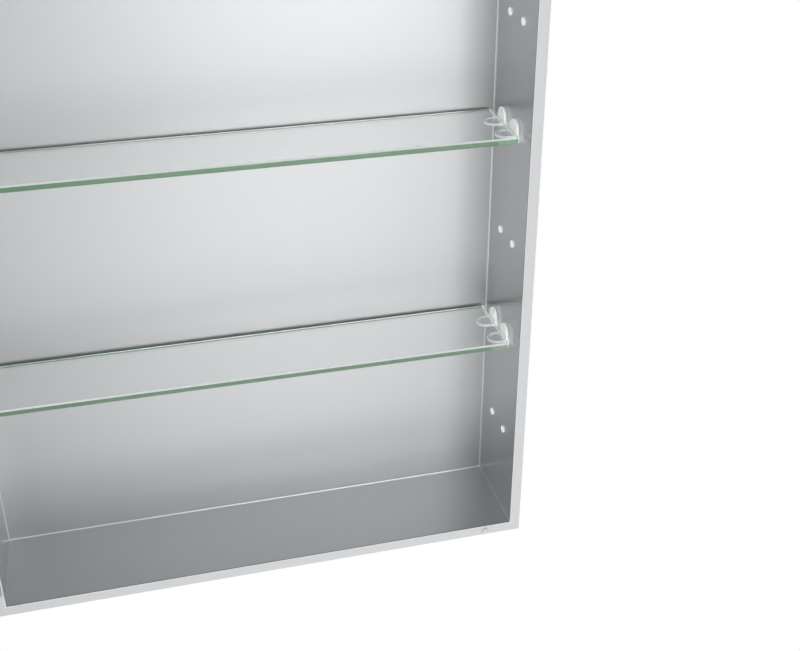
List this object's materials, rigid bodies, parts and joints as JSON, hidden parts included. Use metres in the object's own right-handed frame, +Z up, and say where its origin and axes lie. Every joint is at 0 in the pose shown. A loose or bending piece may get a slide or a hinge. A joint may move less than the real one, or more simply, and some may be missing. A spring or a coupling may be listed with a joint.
{
  "type": "medicine cabinet with mirror",
  "caption": "Surface-mounted aluminium medicine cabinet with glass shelves on clear clip supports and a side-hinged door mirrored on both faces.",
  "frame": {"origin": "centre of the rear plane, where the case meets the wall", "axes": "+X right seen from the front, +Y into the wall, +Z up"},
  "size_m": [0.6603, 0.603, 0.6096],
  "materials": {
    "case_aluminium": "satin anodised",
    "panel_aluminium": "satin anodised sheet",
    "door_aluminium": "satin anodised",
    "shelf_glass": "clear float glass, polished edges",
    "clear_plastic": "clear moulded polycarbonate",
    "clear_bumper": "clear soft polyurethane",
    "white_plastic": "white nylon",
    "spacer_plastic": "foamed PVC",
    "cast_keys": "die cast, raw",
    "plated_steel": "zinc plated",
    "zinc_steel": "galvanised",
    "rivet_aluminium": "plain",
    "hinge_steel": "nickel plated",
    "catch_plastic": "white moulded",
    "ferrite": "sintered ferrite",
    "pole_steel": "zinc plated",
    "mirror": "silvered float glass, polished edge",
    "foam_tape": "foam mounting tape",
    "core_board": "rigid foam board"
  },
  "bodies": {
    "case": {"back_panel": "panel_aluminium", "bumper_lower": "clear_bumper", "bumper_upper": "clear_bumper", "catch_housing": "catch_plastic", "catch_magnet": "ferrite", "catch_pole_plates": "pole_steel", "catch_screws": "plated_steel", "corner_screws": "plated_steel", "front_corner_keys": "cast_keys", "hanging_rail": "zinc_steel", "hinge_leaf_case": "hinge_steel", "hinge_pin": "hinge_steel", "hinge_screws_case": "plated_steel", "rail_rivets": "rivet_aluminium", "rear_corner_keys": "cast_keys", "sleeves_left": "white_plastic", "sleeves_right": "white_plastic", "spacer_centre": "spacer_plastic", "spacer_lower": "spacer_plastic", "support_lower_left_front": "clear_plastic", "support_lower_left_rear": "clear_plastic", "support_lower_right_front": "clear_plastic", "support_lower_right_rear": "clear_plastic", "support_upper_left_front": "clear_plastic", "support_upper_left_rear": "clear_plastic", "support_upper_right_front": "clear_plastic", "support_upper_right_rear": "clear_plastic", "wall_bottom": "case_aluminium", "wall_left": "case_aluminium", "wall_right": "case_aluminium", "wall_top": "case_aluminium"},
    "door": {"door_core": "core_board", "door_corner_keys": "cast_keys", "door_frame_bottom": "door_aluminium", "door_frame_left": "door_aluminium", "door_frame_right": "door_aluminium", "door_frame_top": "door_aluminium", "front_mirror": "mirror", "front_mirror_tape": "foam_tape", "hinge_leaf_door": "hinge_steel", "hinge_screws_door": "plated_steel", "rear_mirror": "mirror", "rear_mirror_tape": "foam_tape", "strike_plate": "pole_steel", "strike_screws": "plated_steel"},
    "shelf_lower": {"shelf_lower": "shelf_glass"},
    "shelf_upper": {"shelf_upper": "shelf_glass"}
  },
  "joints": [
    {"name": "door_hinge", "type": "hinge", "parent": "case", "child": "door", "pos_m": [-0.2567, -0.1101, 0], "axis": [0, 0, 1], "range_deg": [-65, 105]},
    {"name": "shelf_lower_lift", "type": "slide", "parent": "case", "child": "shelf_lower", "axis": [0, 0, 1], "range_m": [0, 0.04]},
    {"name": "shelf_upper_lift", "type": "slide", "parent": "case", "child": "shelf_upper", "axis": [0, 0, 1], "range_m": [0, 0.04]}
  ]
}
